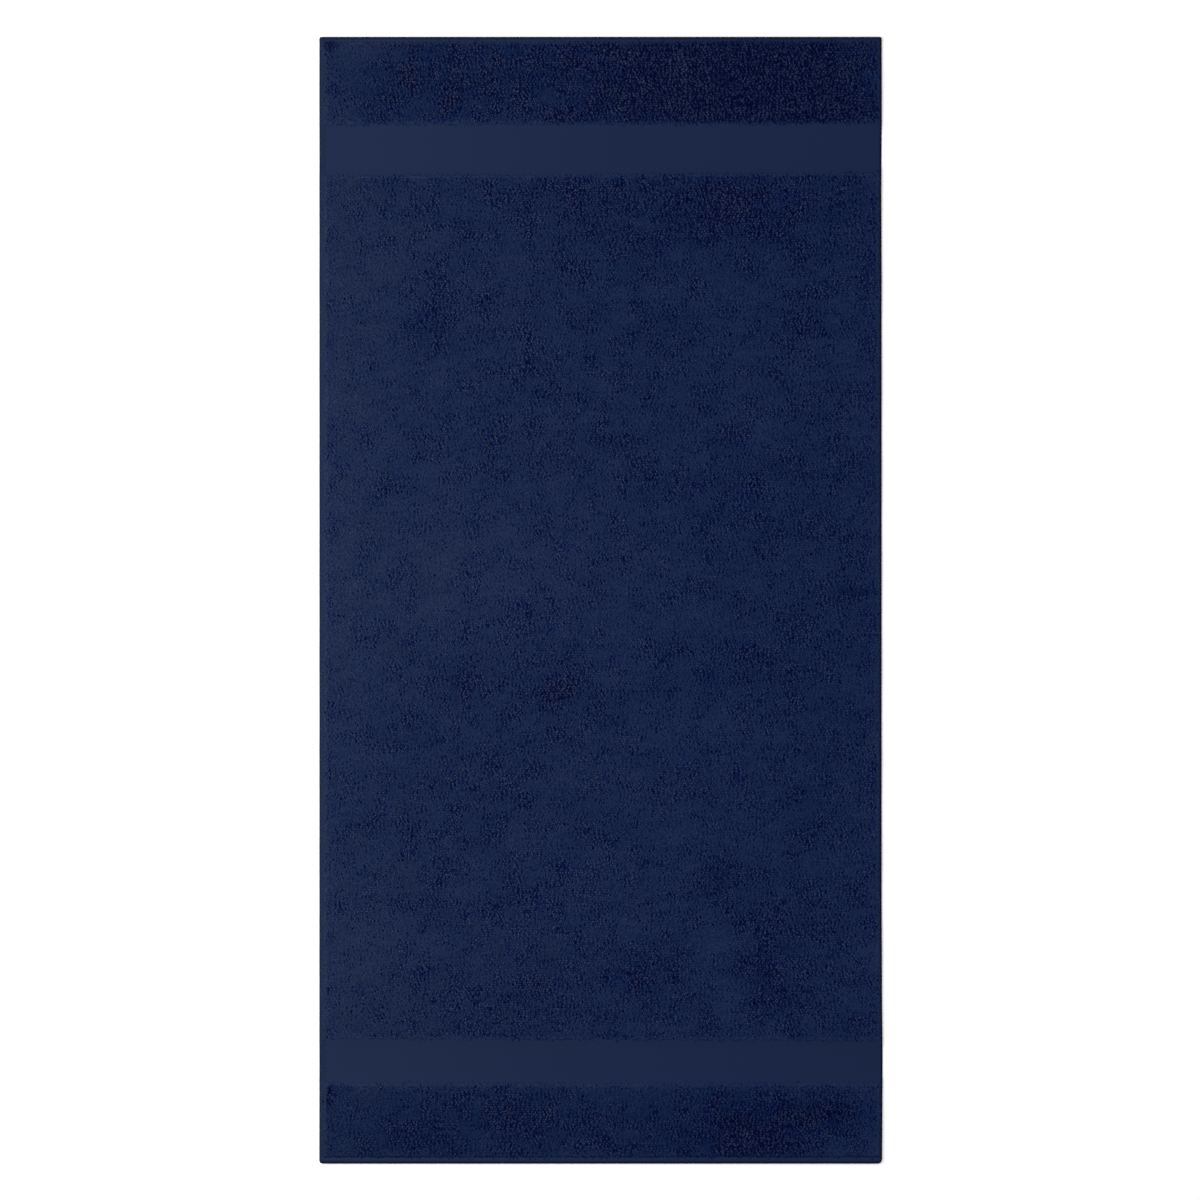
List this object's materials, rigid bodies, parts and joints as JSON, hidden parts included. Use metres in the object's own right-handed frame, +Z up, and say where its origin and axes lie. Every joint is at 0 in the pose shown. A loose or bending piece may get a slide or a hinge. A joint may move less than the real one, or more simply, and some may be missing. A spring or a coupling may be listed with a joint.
{
  "type": "bath towel",
  "caption": "Rectangular terry bath towel lying flat, with a flat-woven band near each end, plain selvedges and turned hems.",
  "frame": {"origin": "on the surface the towel lies on, under the middle of the towel", "axes": "+X across the towel, +Y along it towards the end with the wider band, +Z up out of its face"},
  "size_m": [0.7, 1.4, 0.0046],
  "materials": {
    "terry_cotton": "navy cotton terry, matt looped pile on both faces, with flat-woven bands and selvedges"
  },
  "bodies": {
    "root": {"towel": "terry_cotton"}
  },
  "joints": []
}
